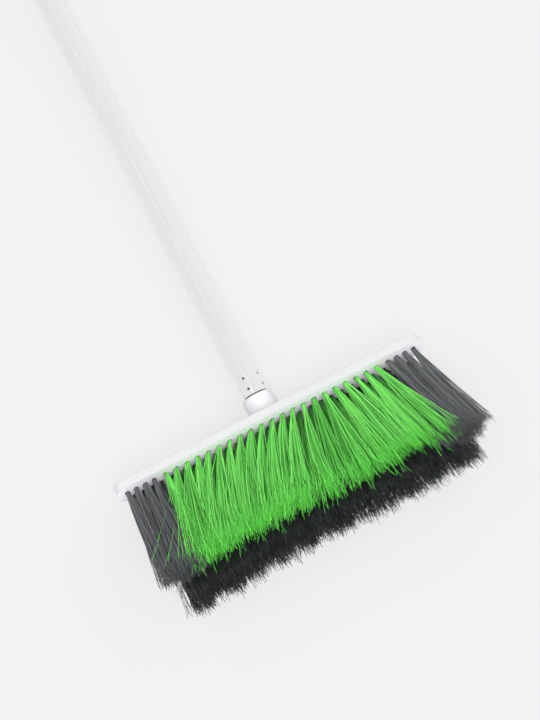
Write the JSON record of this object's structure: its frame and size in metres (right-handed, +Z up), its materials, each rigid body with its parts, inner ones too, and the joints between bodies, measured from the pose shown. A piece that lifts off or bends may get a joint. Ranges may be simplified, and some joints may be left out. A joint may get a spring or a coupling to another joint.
{
  "type": "broom",
  "caption": "Floor broom: a white bar-shaped head with rows of green and dark bristle tufts, and a painted steel tube handle that screws into a slanted socket and ends in a hanging cap.",
  "frame": {"origin": "on the floor, under the middle of the broom's bounding box as it lies", "axes": "+X along the head to the right as seen in the picture, +Y along the handle to its far end, +Z up from the floor; the head's front strip faces up"},
  "size_m": [0.3064, 1.3854, 0.1072],
  "materials": {
    "white_plastic": "satin",
    "green_bristles": "satin",
    "grey_bristles": "satin",
    "dark_bristles": "satin",
    "anchor_wire": "drawn",
    "white_paint": "gloss",
    "dark_plastic": "matt"
  },
  "bodies": {
    "head": {"head_block": "white_plastic", "handle_socket": "white_plastic", "front_row_left_grey_tufts": "grey_bristles", "front_row_green_tufts": "green_bristles", "front_row_right_grey_tufts": "grey_bristles", "second_row_left_grey_tufts": "grey_bristles", "second_row_green_tufts": "green_bristles", "second_row_right_grey_tufts": "grey_bristles", "third_row_dark_tufts": "dark_bristles", "fourth_row_dark_tufts": "dark_bristles", "fifth_row_dark_tufts": "dark_bristles", "front_row_anchors": "anchor_wire", "second_row_anchors": "anchor_wire", "third_row_anchors": "anchor_wire", "fourth_row_anchors": "anchor_wire", "fifth_row_anchors": "anchor_wire"},
    "hanger": {"hanging_cap": "dark_plastic"},
    "handle": {"handle_tube": "white_paint", "threaded_insert": "dark_plastic"}
  },
  "joints": [
    {"name": "handle_rise", "type": "slide", "parent": "head", "child": "hanger", "axis": [0, 0.9999, -0.01], "range_m": [0, 0.02]},
    {"name": "handle_turn", "type": "hinge", "parent": "hanger", "child": "handle", "pos_m": [-0.00325, -0.54678, 0.02335], "axis": [0, 0.9999, -0.01], "range_deg": [0, 1440]}
  ],
  "couplings": [
    {"joint": "handle_turn", "follows": "handle_rise", "rad_per_m": 1256.6}
  ]
}
